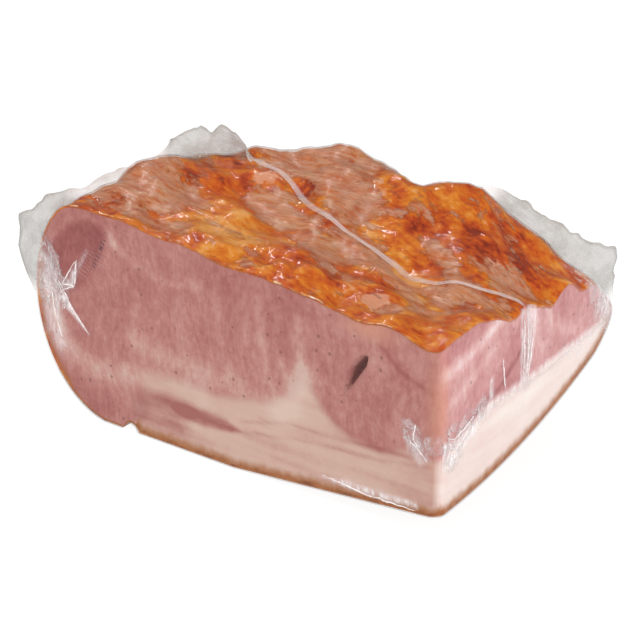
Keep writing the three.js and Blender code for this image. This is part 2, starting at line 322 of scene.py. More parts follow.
def fat_top(x, y):
    front = np.interp(np.maximum(0, -x - 0.1 * y), *fat_on_long_cut.T)
    side = np.interp(np.maximum(0, y), *fat_on_short_cut.T)
    plain = 36
    fade = np.where(front > plain, np.exp(-((y / 26) ** 2)), 1)
    return side + (front - plain) * fade


def below_fat_top():
    """Everything under the fat's upper limit, as one closed solid."""
    x, y = np.meshgrid(np.linspace(10, -192, 102), np.linspace(-10, 166, 89), indexing="ij")
    z = np.maximum(fat_top(x, y), -50) + 0.9 * rumples(x, y, 14, 0.0)
    top = np.stack([x, y, z], -1)
    floor = np.stack([x, y, np.full_like(x, -60)], -1)
    ids = np.arange(x.size).reshape(x.shape)
    low = ids + x.size
    rim = np.concatenate([ids[:, 0], ids[-1, 1:], ids[-2::-1, -1], ids[0, -2:0:-1]])
    sides = np.stack([rim, np.roll(rim, -1), np.roll(rim, -1) + x.size, rim + x.size], -1)
    up = np.stack([ids[:-1, :-1], ids[1:, :-1], ids[1:, 1:], ids[:-1, 1:]], -1).reshape(-1, 4)
    down = np.stack([low[:-1, :-1], low[:-1, 1:], low[1:, 1:], low[1:, :-1]], -1).reshape(-1, 4)
    points = np.vstack([top.reshape(-1, 3), floor.reshape(-1, 3)])
    return mesh_object("below_fat_top", points, np.vstack([up, down, sides]))


sharp_turn = math.radians(55)


def carved(name, source, tool, operation):
    """A copy of source, cut or limited by tool, as a plain mesh."""
    thing = bpy.data.objects.new(name, source.data.copy())
    bpy.context.scene.collection.objects.link(thing)
    cut = thing.modifiers.new("cut", "BOOLEAN")
    cut.object = tool
    cut.operation = operation
    cut.solver = "MANIFOLD"
    bpy.context.view_layer.update()
    done = bpy.data.meshes.new_from_object(thing.evaluated_get(bpy.context.evaluated_depsgraph_get()))
    thing.modifiers.clear()
    done.materials.clear()
    thing.data = done
    done.name = name
    done.set_sharp_from_angle(angle=sharp_turn)
    return thing


# Outlines on the long cut, (x, z): a rounder dark muscle at the left, the muscle with the slit
# at the right, a thin streak of lean in the fat and the small muscle under the pale band.
long_cut_shapes = {
    "round muscle": ([
        (-222, 84), (-212, 97), (-201, 104), (-190, 107), (-181, 104), (-181, 99), (-186, 89),
        (-192, 79), (-200, 67), (-214, 60), (-226, 66),
    ], -0.85, 3.0),
    "slit muscle": ([
        (-71, 60), (-62, 51), (-51, 43), (-38, 38), (-20, 38), (-10, 43), (-6, 60), (-8, 90),
        (-30, 94), (-66, 96), (-70, 80),
    ], 0.12, 3.5),
    "pink fat": ([(-170, 6), (-166, 24), (-150, 30), (-134, 26), (-140, 8)], -1.3, 7.0),
    "lean streak": ([
        (-146, 20.2), (-138, 23.4), (-126, 24.6), (-114, 23.4), (-106, 20.6), (-116, 16.8),
        (-128, 15.6), (-139, 17.4),
    ], -1.5, 1.8),
    "low muscle": ([
        (-219, 30), (-213, 22), (-200, 20), (-182, 20), (-176, 14), (-172, 6), (-190, 2),
        (-215, 8), (-224, 24),
    ], -0.15, 4.0),
    "lean by the streak": ([(-170, 34), (-60, 36), (-60, 60), (-170, 50)], 0.3, 9.0),
}
# Lines on the long cut: (x, z) points, width and strength; pale ones are seams of fat.
long_cut_lines = [
    ([(-220, 56), (-216, 43), (-212, 36), (-205, 30), (-190, 27), (-159, 29), (-129, 32)], 6.5, 0.75),
    ([(-222, 70), (-219, 56), (-214, 42)], 3.5, 0.7),
    ([(-74, 84), (-75, 76), (-73, 68), (-71, 60)], 3.0, 0.7),
    ([(-217, 88), (-206, 99), (-194, 104), (-184, 102), (-178, 94)], 2.2, 0.75),
    ([(-178, 94), (-168, 88), (-150, 82), (-130, 86)], 3.0, 0.3),
    ([(-84, 34), (-76, 46), (-72, 58)], 6.0, 0.9),
    ([(-118, 82), (-116, 60), (-112, 45)], 3.0, 0.35),
    ([(-95, 88), (-93, 67), (-90, 50)], 3.2, 0.45),
    ([(-141, 84), (-140, 62), (-137, 48)], 3.4, 0.25),
    ([(-86, 84), (-84, 66), (-80, 52)], 2.6, 0.3),
    ([(-106, 25), (-78, 32.5), (-51, 33.5), (-20, 35.5), (-7, 37)], 1.1, -0.75),
    ([(-112, 19), (-73, 26), (-30, 30), (-5, 34)], 1.1, -0.6),
    ([(-31, 84), (-21, 75), (-8, 70)], 1.3, -0.55),
    ([(-168, 48), (-110, 40), (-76, 38)], 5.0, 0.45),
]
# A row of small dark stitches of sinew beside the rounder muscle, from end to end.
suture = [(-181, 101), (-196, 69)]
# Outlines and lines on the short cut, (y, z), in the same way.
short_cut_shapes = {
    "dark muscle": ([
        (64, 82), (57, 77), (50, 66), (36, 56), (30, 52), (48, 50), (64, 50), (70, 60), (70, 74),
    ], -0.4, 3.0),
    "corner muscle": ([(0, 92), (30, 94), (48, 90), (24, 80), (0, 76)], -0.35, 3.0),
    "near muscle": ([(3, 64), (22, 66), (32, 58), (24, 52), (5, 48)], 0.1, 4.0),
    "clean fat": ([
        (-4, 10), (-4, 38), (20, 38), (50, 44), (140, 50), (142, 40), (85, 18), (40, 11),
    ], 0.7, 3.0),
    "far muscle": ([(96, 90), (100, 70), (122, 64), (136, 70), (130, 88)], -0.1, 4.0),
}
short_cut_lines = [
    ([(2, 77), (21, 80), (37, 84), (56, 90)], 4.0, 1.0),
    ([(74, 92), (76, 76), (82, 60)], 5.0, 0.6),
    ([(67, 67), (47, 54), (31, 51), (17, 45)], 1.4, -0.9),
    ([(8, 62), (26, 68), (44, 76)], 2.5, 0.45),
    ([(84, 84), (92, 66), (112, 58)], 3.0, 0.5),
]


def outline_distance(u, v, corners):
    """Distance from a closed outline, negative inside it."""
    inside = np.zeros(u.shape, bool)
    nearest = np.full(u.shape, 1e9)
    for (ax, ay), (bx, by) in zip(corners, corners[1:] + corners[:1]):
        nearest = np.minimum(nearest, line_distance(u, v, [(ax, ay), (bx, by)]))
        crosses = (ay > v) != (by > v)
        inside ^= crosses & (u < (bx - ax) * (v - ay) / ((by - ay) or 1e-9) + ax)
    return np.where(inside, -nearest, nearest)


def line_distance(u, v, corners):
    nearest = np.full(u.shape, 1e9)
    for (ax, ay), (bx, by) in zip(corners, corners[1:]):
        dx, dy = bx - ax, by - ay
        share = np.clip(((u - ax) * dx + (v - ay) * dy) / (dx * dx + dy * dy), 0, 1)
        nearest = np.minimum(nearest, np.hypot(u - ax - share * dx, v - ay - share * dy))
    return nearest


def tone(u, v, shapes, lines):
    """Paleness of a cut face: above 0 towards fat, below 0 towards dark lean."""
    total = np.zeros(u.shape)
    for corners, strength, softness in shapes.values():
        share = np.clip(0.5 - outline_distance(u, v, corners) / softness / 2, 0, 1)
        total += strength * share * share * (3 - 2 * share)
    for corners, width, strength in lines:
        total += strength * np.exp(-((line_distance(u, v, corners) / width) ** 2))
    return total


def ham_points(thing):
    flat = np.empty(len(thing.data.vertices) * 3)
    thing.data.vertices.foreach_get("co", flat)
    return (flat.reshape(-1, 3) - corner_foot) / MM


def tree_of(points):
    tree = kdtree.KDTree(len(points))
    for spot, point in enumerate(points):
        tree.insert(point, spot)
    tree.balance()
    return tree


def crust_depth(points, cut_tree, skin_tree):
    """How far a point of a cut lies from the outside; below 0, how far outside it is off a cut."""
    to_cut = np.array([cut_tree.find(p)[2] for p in points])
    to_skin = np.array([skin_tree.find(p)[2] for p in points])
    return np.where(to_skin > to_cut, to_skin, -to_cut)


def dress(thing, cut_tree, skin_tree):
    """Writes what the materials need to know about each point of the meat."""
    points = ham_points(thing)
    x, y, z = points.T
    on_short = np.clip((x + 4 + 0.2 * y) / 4, 0, 1) * (y > 0.4)
    front = tone(x, z, long_cut_shapes, long_cut_lines)
    side = tone(y, z, short_cut_shapes, short_cut_lines)
    depth = crust_depth(points, cut_tree, skin_tree)
    at_left = np.clip((-195 - x) / 15, 0, 1) * np.clip((84 - z) / 8, 0, 1)
    write(thing.data, "crust_depth", np.where(depth > 0, depth * (1 - 0.72 * at_left), depth))
    write(thing.data, "tone", front + (side - front) * on_short)
    write(thing.data, "short_cut", on_short)
    above = z - fat_top(x, y)
    front_line = [(-a, b) for a, b in fat_on_long_cut]
    to_line = line_distance(x, z, front_line) * np.sign(above)
    above = np.where((y < 0.5) & (x < -12), to_line, above)
    write(thing.data, "above_fat", above * np.interp(x, [-165, -125], [0.3, 1]))
    corner = np.exp(-((x / 6) ** 2) - ((y / 6) ** 2) - (((z - 62) / 22) ** 2))
    under_edge = np.exp(-(((x + 36) / 12) ** 2) - (((z - 90) / 5) ** 2))
    write(thing.data, "warm", np.maximum(corner, under_edge * (y < 10)))
    write(thing.data, "slit_share", np.where(y < 12, slit_share(x, z), -1))
    start, ahead = np.array(suture[0]), np.array(suture[1]) - np.array(suture[0])
    ahead = ahead / np.linalg.norm(ahead)
    away = np.stack([x, z], -1) - start
    write(thing.data, "suture_run", away @ ahead)
    write(thing.data, "suture_side", away @ np.array([-ahead[1], ahead[0]]))


# Patches of the top, (x, y) and half sizes with a turn in degrees, and how strong each is.
golden_patches = [
    (-130, 26, 17, 20, 15, 1.3), (-118, 15, 8, 8, 0, 0.7), (-146, 24, 9, 12, 0, 0.8),
    (-131, 74, 12, 7, -20, 0.45), (-76, 66, 16, 6, -40, 0.65), (-52, 98, 12, 9, 40, 0.5),
    (-62, 108, 9, 7, 0, 0.5), (-96, 124, 16, 8, -20, 0.45), (-26, 40, 18, 7, -30, 0.4),
    (-210, 30, 12, 8, 0, 0.4), (-8, 112, 10, 6, 0, 0.6), (-50, 46, 16, 6, -35, 0.45),
    (-6, 94, 8, 8, 0, 0.4), (-26, 22, 8, 6, 0, 0.5),
]
red_patches = [
    (-168, 66, 16, 11, 30, 0.9), (-150, 60, 14, 7, -30, 0.7), (-200, 12, 12, 12, 0, 0.8),
    (-61, 28, 15, 9, -30, 0.8), (-88, 30, 16, 8, -20, 0.6), (-100, 22, 7, 6, 0, 0.6),
    (-50, 86, 18, 14, 20, 1.0), (-26, 88, 22, 15, 30, 1.1),
    (-30, 104, 26, 10, -10, 0.8), (-94, 82, 22, 7, -25, 0.8), (-126, 80, 16, 6, -25, 0.5),
    (-104, 12, 12, 8, 0, 0.5), (-82, 14, 12, 9, 0, 0.5), (-14, 26, 12, 8, 40, 0.9),
    (-58, 17, 10, 8, -20, 0.5), (-104, 44, 14, 7, -30, 0.6), (-180, 70, 20, 8, 40, 0.4),
]
pale_patches = [
    (-150, 80, 10, 5, 20, 0.6), (-47, 20, 6, 5, 30, 1.0), (-110, 92, 20, 7, -20, 0.6),
    (-170, 12, 14, 7, 0, 0.5), (-150, 13, 10, 6, 0, 0.4), (-22, 80, 9, 5, 0, 0.8),
    (-180, 92, 14, 6, 0, 0.4),
]


# Where the film over the top bridges a hollow and turns milky.
milky_zones = [
    (-172, 9, 20, 8, 10, 0.6), (-153, 13, 12, 7, 0, 0.5), (-186, 24, 14, 9, 0, 0.5),
    (-206, 22, 10, 9, 0, 0.5), (-116, 96, 26, 8, -25, 0.55), (-40, 108, 20, 8, -20, 0.6),
    (-165, 22, 24, 10, 10, 0.5), (-100, 80, 24, 9, -25, 0.9), (-22, 78, 12, 6, 20, 0.5),
    (-38, 34, 12, 5, 40, 0.5),
    (-142, 94, 24, 10, -10, 1.2), (-120, 84, 14, 6, -25, 0.7), (-101, 69, 14, 6, -30, 0.8),
    (-154, 102, 20, 8, 0, 1.0), (-134, 107, 20, 8, 0, 0.9), (-198, 28, 18, 8, 40, 1.0),
    (-176, 31, 16, 9, 20, 1.1), (-167, 42, 18, 7, -15, 1.2), (-188, 38, 16, 9, 20, 1.0),
    (-131, 60, 20, 9, -15, 1.3), (-111, 55, 14, 6, -25, 0.7), (-89, 40, 18, 9, -30, 1.2),
    (-142, 70, 12, 6, 0, 0.6), (-82, 51, 18, 8, -30, 1.1), (-69, 50, 14, 7, -30, 1.1),
    (-50, 43, 16, 6, -25, 1.0), (-32, 47, 16, 6, -10, 1.0), (-15, 53, 14, 7, 0, 1.0),
    (-60, 128, 40, 10, 0, 1.0), (-108, 118, 24, 8, -10, 0.8), (-200, 60, 20, 20, 60, 1.0),
    (-40, 66, 22, 5, -25, 0.8), (-12, 84, 14, 5, 20, 0.8), (-30, 26, 20, 5, 40, 0.8),
    (-70, 88, 12, 6, 40, 0.8), (-10, 70, 14, 7, 0, 0.9),
]


def top_share(z):
    """1 on the top, fading to 0 a little way down the sides."""
    return np.clip((z - 62) / 12, 0, 1)


def dress_outside(thing):
    """Marks the rind, which fades upwards, and the knobs of the top."""
    x, y, z = ham_points(thing).T
    rind_line = np.interp(y, *fat_on_short_cut.T) - np.interp(-x, [0, 160, 228], [0, 6, 22])
    rind = (rind_line + 2 + 5 * rumples(x, y, 16, 9.0) - z) / 12
    write(thing.data, "rind", np.clip(rind, 0, 1))
    write(thing.data, "knobs", knobs(x, y) * np.clip((z - 60) / 15, 0, 1))


def dress_top(thing, fields):
    """Spreads tables of patches over the top, each as an attribute of its own."""
    x, y, z = ham_points(thing).T
    for name, table in fields:
        write(thing.data, name, swells(table, x, y) * top_share(z))


block_cells = (176, 116, 72)
points, faces, marks = block_mesh(block_cells, relief=knobs)
points = open_slit(points, marks)
block = mesh_object("block", points, faces)
cutter = below_fat_top()
lean = carved("lean", block, cutter, "DIFFERENCE")
fat = carved("fat_and_rind", block, cutter, "INTERSECT")
for spare in (block, cutter):
    bpy.data.objects.remove(spare)
cut_tree = tree_of(points[marks > 0])
skin_tree = tree_of(points[marks == 0])
for meaty in (lean, fat):
    dress(meaty, cut_tree, skin_tree)
    dress_outside(meaty)
dress_top(lean, (
    ("golden", golden_patches), ("red", red_patches), ("pale", pale_patches),
    ("stand_off", milky_zones),
))


def add(tree, kind, inputs=None, family="ShaderNode", **settings):
    """A node with its settings; an input is a value or the socket it comes from."""
    node = tree.nodes.new(family + kind)
    for name, value in settings.items():
        setattr(node, name, value)
    for name, value in (inputs or {}).items():
        if isinstance(value, bpy.types.NodeSocket):
            tree.links.new(value, node.inputs[name])
        else:
            node.inputs[name].default_value = value
    return node


def blend(tree, share, first, second, mode="MIX"):
    inputs = {0: share, 6: first, 7: second}
    return add(tree, "Mix", inputs, data_type="RGBA", blend_type=mode, clamp_factor=True).outputs[2]


def ramp(tree, value, low, high, to_low=0.0, to_high=1.0):
    inputs = {0: value, 1: low, 2: high, 3: to_low, 4: to_high}
    return add(tree, "MapRange", inputs, interpolation_type="SMOOTHSTEP").outputs[0]


def maths(tree, operation, first, second=0.0, third=0.5):
    inputs = {0: first, 1: second, 2: third}
    return add(tree, "Math", inputs, operation=operation).outputs[0]


def plus(tree, first, second):
    return maths(tree, "ADD", first, second)


def minus(tree, first, second):
    return maths(tree, "SUBTRACT", first, second)


def times(tree, first, second):
    return maths(tree, "MULTIPLY", first, second)


def from_middle(tree, noise_value):
    """0 along the middle lines of a noise, which makes thin wandering lines of it."""
    return maths(tree, "ABSOLUTE", minus(tree, noise_value, 0.5))


def grain(tree, place, scale, stretch=(1, 1, 1), turn=(0, 0, 0), detail=3.0, rough=0.55):
    """Noise of a given scale on a turned and stretched place."""
    placed = add(tree, "Mapping", {"Vector": place, "Scale": stretch, "Rotation": turn}).outputs[0]
    inputs = {"Vector": placed, "Scale": scale, "Detail": detail, "Roughness": rough}
    return add(tree, "TexNoise", inputs).outputs[0]


def warped(tree, place, scale, size):
    """A place pushed about by soft noise, so that what reads it bends."""
    drift = add(tree, "TexNoise", {"Vector": place, "Scale": scale, "Detail": 1.0}).outputs["Color"]
    inputs = {0: drift, 1: (size,) * 3, 2: (-size / 2,) * 3}
    drift = add(tree, "VectorMath", inputs, operation="MULTIPLY_ADD").outputs[0]
    return add(tree, "VectorMath", {0: place, 1: drift}, operation="ADD").outputs[0]


def field(tree, name):
    return add(tree, "Attribute", attribute_name=name).outputs["Fac"]


def new_group(name, inputs, outputs, family="ShaderNodeTree"):
    """An empty node group with named sockets, and its input and output nodes."""
    group = bpy.data.node_groups.new(name, family)
    for label, kind in inputs:
        group.interface.new_socket(label, in_out="INPUT", socket_type="NodeSocket" + kind)
    for label, kind in outputs:
        group.interface.new_socket(label, in_out="OUTPUT", socket_type="NodeSocket" + kind)
    return group, group.nodes.new("NodeGroupInput").outputs, group.nodes.new("NodeGroupOutput").inputs


def use(tree, group, inputs):
    return add(tree, "Group", inputs, node_tree=group).outputs


def new_material(name):
    material = bpy.data.materials.new(name)
    material.use_nodes = True
    material.node_tree.nodes.clear()
    return material, material.node_tree


def finish_material(tree, shader):
    add(tree, "OutputMaterial", {"Surface": shader})


def make_cut_face():
    """Sawn cured meat: streaks along the fibres, pale to dark by tone, fat under the lean."""
    group, given, give = new_group(
        "cut face",
        [("Place", "Vector"), ("Tone", "Float"), ("Above fat", "Float"), ("Short cut", "Float")],
        [("Colour", "Color"), ("Height", "Float")],
    )
    place = given["Place"]

    def swing(value, size):
        return times(group, minus(group, value, 0.5), size)

    lean_of_fibres = (0, math.radians(8), 0)
    bent = warped(group, place, 22, 0.016)
    coarse = grain(group, bent, 140, (1, 1, 0.3), lean_of_fibres, 4, 0.65)
    fine = grain(group, bent, 520, (1, 1, 0.28), lean_of_fibres, 3, 0.7)
    cloud = grain(group, place, 48, detail=4, rough=0.6)
    mottle = grain(group, place, 330, detail=4, rough=0.7)
    streaks = swing(coarse, 1.9)
    threads = swing(fine, 1.7)
    level = plus(group, times(group, given["Tone"], 1.5), plus(group, streaks, threads))
    level = plus(group, level, plus(group, swing(cloud, 1.5), swing(mottle, 1.9)))
    lean_colour = colour_ramp(group, maths(group, "MULTIPLY_ADD", level, 0.25), (
        (0.0, (0.34, 0.08, 0.072)), (0.28, (0.46, 0.14, 0.124)), (0.5, (0.56, 0.22, 0.193)),
        (0.72, (0.67, 0.34, 0.293)), (0.95, (0.77, 0.52, 0.45)),
    ))
    bands = grain(group, place, 60, (0.25, 0.25, 2.2), (0, math.radians(-4), 0), 3, 0.5)
    fat_level = plus(group, swing(bands, 1.8), plus(group, swing(cloud, 0.6), swing(mottle, 0.5)))
    fat_level = plus(group, fat_level, times(group, given["Tone"], 0.6))
    fat_colour = colour_ramp(group, maths(group, "MULTIPLY_ADD", fat_level, 0.5), (
        (0.0, (0.46, 0.155, 0.13)), (0.24, (0.62, 0.32, 0.27)), (0.5, (0.75, 0.5, 0.41)),
        (0.9, (0.84, 0.63, 0.53)),
    ))
    axes = add(group, "SeparateXYZ", {"Vector": place}).outputs
    along = plus(group, axes["X"], axes["Y"])
    flat = add(group, "CombineXYZ", {"X": along, "Y": axes["Z"]}).outputs[0]
    cells = add(group, "TexVoronoi", {"Vector": flat, "Scale": 150.0}, voronoi_dimensions="2D").outputs
    chosen = add(group, "SeparateColor", {"Color": cells["Color"]}).outputs
    size = ramp(group, chosen[1], 0.0, 1.0, 0.07, 0.16)
    speck = ramp(group, maths(group, "DIVIDE", cells["Distance"], size), 0.5, 1.0, 1.0, 0.0)
    speck = times(group, speck, ramp(group, chosen[0], 0.78, 0.8, 0.0, 0.65))
    lean_colour = blend(group, speck, lean_colour, (0.26, 0.09, 0.08, 1))
    height = plus(group, given["Above fat"], plus(group, swing(cloud, 9.0), swing(mottle, 3.0)))
    mixed = blend(group, ramp(group, height, -2.5, 3.5), fat_colour, lean_colour)
    # Painted light: the short cut is made paler and brighter than the long cut. This stands in for the
    # stronger light that falls on it from the right.
    tint = blend(group, given["Short cut"], (1, 1, 1, 1), (1.24, 1.46, 1.64, 1))
    group.links.new(blend(group, 1.0, mixed, tint, "MULTIPLY"), give["Colour"])
    group.links.new(plus(group, threads, swing(mottle, 1.0)), give["Height"])
    return group


def make_cling():
    """Where the film has lifted off the meat, and the dark wet line where it parts from it."""
    group, given, give = new_group(
        "cling", [("Place", "Vector"), ("Stand off", "Float")],
        [("Lifted", "Float"), ("Parting line", "Float"), ("Streaks", "Float")],
    )
    place = given["Place"]
    flow = (0, 0, math.radians(28))
    coarse = grain(group, place, 75, (0.8, 1.6, 1), flow, 2, 0.5)
    fine = grain(group, place, 230, (0.6, 1.6, 1), flow, 5, 0.72)
    level = maths(group, "MULTIPLY_ADD", coarse, 2.6, -1.3)
    detail = maths(group, "MULTIPLY_ADD", fine, 2.6, -1.3)
    level = plus(group, given["Stand off"], plus(group, level, detail))
    streaks = grain(group, place, 420, (0.16, 1.3, 1), flow, 3, 0.6)
    group.links.new(ramp(group, level, 0.55, 0.66), give["Lifted"])
    gap = maths(group, "ABSOLUTE", minus(group, level, 0.55))
    group.links.new(ramp(group, gap, 0.0, 0.11, 1.0, 0.0), give["Parting line"])
    group.links.new(streaks, give["Streaks"])
    return group


def colour_ramp(tree, value, stops):
    node = add(tree, "ValToRGB", {"Fac": value})
    stretch = node.color_ramp.elements
    while len(stretch) < len(stops):
        stretch.new(0.5)
    for stop, (at, colour) in zip(stretch, stops):
        stop.position = at
        stop.color = (*colour, 1)
    return node.outputs[0]


def make_smoked_crust(cling):
    """The browned outside: dark red to golden by tone, tan where the film has lifted."""
    group, given, give = new_group(
        "smoked crust",
        [(name, "Float" if name != "Place" else "Vector")
         for name in ("Place", "Golden", "Red", "Pale", "Stand off", "Knobs", "Rind")],
        [("Colour", "Color"), ("Height", "Float")],
    )
    place = given["Place"]
    flow = (0, 0, math.radians(28))
    broad = grain(group, place, 80, (1, 1.3, 1), flow, 3, 0.6)
    patchy = grain(group, warped(group, place, 60, 0.008), 230, (0.7, 1.5, 1), flow, 5, 0.72)
    fine = grain(group, place, 800, detail=3)
    lift = times(group, minus(group, given["Golden"], given["Red"]), 0.28)
    # Painted light and shade: the crust is drawn lighter on the knobs and darker in the dents between
    # them, so that the colour follows the relief.
    lift = plus(group, lift, times(group, given["Knobs"], 0.07))
    rolls = plus(group, times(group, broad, 1.7), times(group, patchy, 1.4))
    level = plus(group, minus(group, rolls, 0.99), lift)
    colour = colour_ramp(group, level, (
        (0.08, (0.27, 0.03, 0.008)), (0.26, (0.48, 0.06, 0.008)), (0.44, (0.62, 0.11, 0.008)),
        (0.6, (0.68, 0.17, 0.01)), (0.8, (0.76, 0.26, 0.02)), (1.0, (0.82, 0.38, 0.09)),
    ))
    rind = colour_ramp(group, patchy, (
        (0.3, (0.26, 0.075, 0.022)), (0.5, (0.44, 0.15, 0.045)), (0.7, (0.6, 0.25, 0.09)),
    ))
    colour = blend(group, given["Rind"], colour, rind)
    pale_share = ramp(group, plus(group, given["Pale"], minus(group, rolls, 1.55)), 0.3, 0.5)
    colour = blend(group, times(group, pale_share, 0.85), colour, (0.74, 0.36, 0.22, 1))
    state = use(group, cling, {"Place": place, "Stand off": given["Stand off"]})
    drawn = ramp(group, state["Streaks"], 0.35, 0.65)
    tan = blend(group, drawn, (0.54, 0.13, 0.025, 1), (0.7, 0.33, 0.18, 1))
    colour = blend(group, times(group, state["Lifted"], 0.72), colour, tan)
    bent = warped(group, place, 45, 0.014)
    wrinkle = grain(group, bent, 120, (0.35, 2.2, 1), flow, 3, 0.6)
    wrinkle = from_middle(group, wrinkle)
    wrinkle = times(group, ramp(group, wrinkle, 0.0, 0.025, 0.75, 0.0), state["Lifted"])
    colour = blend(group, wrinkle, colour, (0.4, 0.09, 0.015, 1))
    wet_line = times(group, state["Parting line"], 0.6)
    colour = blend(group, wet_line, colour, (0.2, 0.035, 0.008, 1))
    group.links.new(colour, give["Colour"])
    height = plus(group, patchy, times(group, fine, 0.25))
    group.links.new(height, give["Height"])
    return group


cut_face = make_cut_face()
cling = make_cling()
smoked_crust = make_smoked_crust(cling)


def stitched(tree, place, colour):
    """The row of dark stitches beside the rounder muscle, and the pale comb that leaves it."""
    run, side = field(tree, "suture_run"), field(tree, "suture_side")
    shiver = times(tree, grain(tree, place, 170), 9.0)
    broken = ramp(tree, grain(tree, place, 260, detail=1), 0.4, 0.6, 0.25, 1.0)
    strokes = maths(tree, "SINE", plus(tree, times(tree, run, 3.1), shiver))

    def within(value, low, high, soft):
        rise = ramp(tree, value, low - soft, low + soft)
        return times(tree, rise, ramp(tree, value, high - soft, high + soft, 1.0, 0.0))

    wander = maths(tree, "MULTIPLY_ADD", grain(tree, place, 120), 3.0, -1.5)
    side = plus(tree, side, wander)
    on_row = times(tree, within(side, -1.4, 1.4, 0.5), within(run, 3, 27, 1.5))
    dark = times(tree, on_row, ramp(tree, strokes, 0.0, 0.5, 0.0, 0.95))
    colour = blend(tree, times(tree, dark, broken), colour, (0.16, 0.07, 0.08, 1))
    dot = within(run, 11.2, 12.8, 0.4)
    dot = times(tree, dot, within(side, -0.6, 0.6, 0.4))
    colour = blend(tree, times(tree, dot, 0.8), colour, (0.06, 0.03, 0.04, 1))
    on_comb = times(tree, within(side, 1.5, 6.0, 1.5), within(run, 10, 36, 4.0))
    other = times(tree, within(side, -6.5, -1.5, 1.5), within(run, 16, 36, 4.0))
    comb = times(tree, maths(tree, "MAXIMUM", on_comb, other), ramp(tree, strokes, -0.4, 0.6, 0.0, 0.3))
    comb = times(tree, comb, broken)
    return blend(tree, comb, colour, (0.66, 0.4, 0.36, 1))


def meat_material(name, top_fields, rim_depth, rim_colour):
    """Cut face inside the rim, browned outside beyond it."""
    material, tree = new_material(name)
    place = add(tree, "TexCoord").outputs["Object"]
    inside = use(tree, cut_face, {
        "Place": place, "Tone": field(tree, "tone"), "Above fat": field(tree, "above_fat"),
        "Short cut": field(tree, "short_cut"),
    })
    fields = {label: field(tree, name) for label, name in top_fields.items()}
    outside = use(tree, smoked_crust, {"Place": place, **fields})
    meat = stitched(tree, place, inside["Colour"])
    warm = times(tree, field(tree, "warm"), 0.75)
    meat = blend(tree, warm, meat, (0.78, 0.36, 0.24, 1))
    ragged = times(tree, grain(tree, place, 260, (1, 1, 0.7), detail=4), rim_depth * 1.1)
    depth = minus(tree, field(tree, "crust_depth"), ragged)
    shown = blend(tree, ramp(tree, depth, -0.6, 0.4), outside["Colour"], rim_colour)
    shown = blend(tree, ramp(tree, depth, -0.1 * rim_depth, rim_depth * 1.25), shown, meat)
    shadow = ramp(tree, field(tree, "slit_share"), 0.0, 0.4, 0.0, 0.85)
    shown = blend(tree, shadow, shown, (0.26, 0.075, 0.065, 1))
    share = ramp(tree, depth, -0.5, 0.5)
    height = plus(tree, times(tree, inside["Height"], share), outside["Height"])
    bump = add(tree, "Bump", {"Height": height, "Strength": 0.25, "Distance": 0.0006}).outputs[0]
    shader = add(tree, "BsdfPrincipled", {
        "Base Color": shown, "Normal": bump, "Roughness": 0.42, "Specular IOR Level": 0.25,
        "Subsurface Weight": 0.12, "Subsurface Scale": 0.0012,
        "Subsurface Radius": (1.0, 0.35, 0.25),
    }).outputs[0]
    finish_material(tree, shader)
    return material


lean_material = meat_material(
    "smoked lean",
    {"Golden": "golden", "Red": "red", "Pale": "pale", "Stand off": "stand_off",
     "Knobs": "knobs", "Rind": "rind"},
    0.9, (0.46, 0.15, 0.05, 1),
)
lean.data.materials.append(lean_material)
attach(lean, "root")
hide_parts("meat")

# The fat and rind
# Thick back fat under the lean, left on with its rind. The rind closes it underneath and at the
# sides, and the smoke browned its cut edge into the fat.

fat_material = meat_material("fat with smoked rind", {"Rind": "rind"}, 3.8, (0.5, 0.2, 0.075, 1))
fat.data.materials.append(fat_material)
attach(fat, "root")
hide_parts("fat_cap")

# The film
# One bag of clear shrink film, drawn tight round the block under vacuum. It clings to the meat
# with a wet gloss, turns milky where it bridges a hollow, and is crushed at the corners.


def bridged(x, y):
    lifted = np.minimum(1, swells(milky_zones, x, y))
    below = np.minimum(0, knobs(x, y))
    return knobs(x, y) - 0.5 * below * lifted + 0.5 * lifted


skin_cells = (210, 136, 80)
points, faces, marks = block_mesh(skin_cells, film_gap, bridged, corner_radius + film_gap)
film = mesh_object("film_skin", points, faces)
dress_top(film, (("stand_off", milky_zones),))
x, y, z = ham_points(film).T
over_crust = top_share(z) * np.clip(y / 2, 0, 1) * np.clip(-x / 2, 0, 1)
write(film.data, "over_crust", over_crust)
# Where the film is crushed: place and size.
crumpled_places = [
    (-224, 2, 80, 9), (-218, 0, 70, 9), (-216, 0, 58, 8), (-228, 10, 64, 10), (-11, 0, 44, 6),
    (-16, 0, 50, 4), (0, 8, 46, 7), (0, 20, 48, 6), (0, 10, 36, 6), (0, 32, 51, 5), (0, 140, 66, 12),
    (0, 132, 78, 10), (0, 146, 52, 8), (-8, 128, 92, 9), (-2, 120, 100, 7),
]
crumple = np.zeros(len(x))
for px, py, pz, size in crumpled_places:
    crumple += np.exp(-((x - px) ** 2 + (y - py) ** 2 + (z - pz) ** 2) / size**2)
# The film is also crushed a little beside the ridge that goes down the short cut.
ridge_line, ridge_half_width = [(68, 92), (71, 68), (70, 47)], 4.5
beside_ridge = np.exp(-((line_distance(y, z, ridge_line) / ridge_half_width) ** 4)) * (x > -0.6)
write(film.data, "crumple", np.minimum(1.2, crumple + 0.4 * beside_ridge))
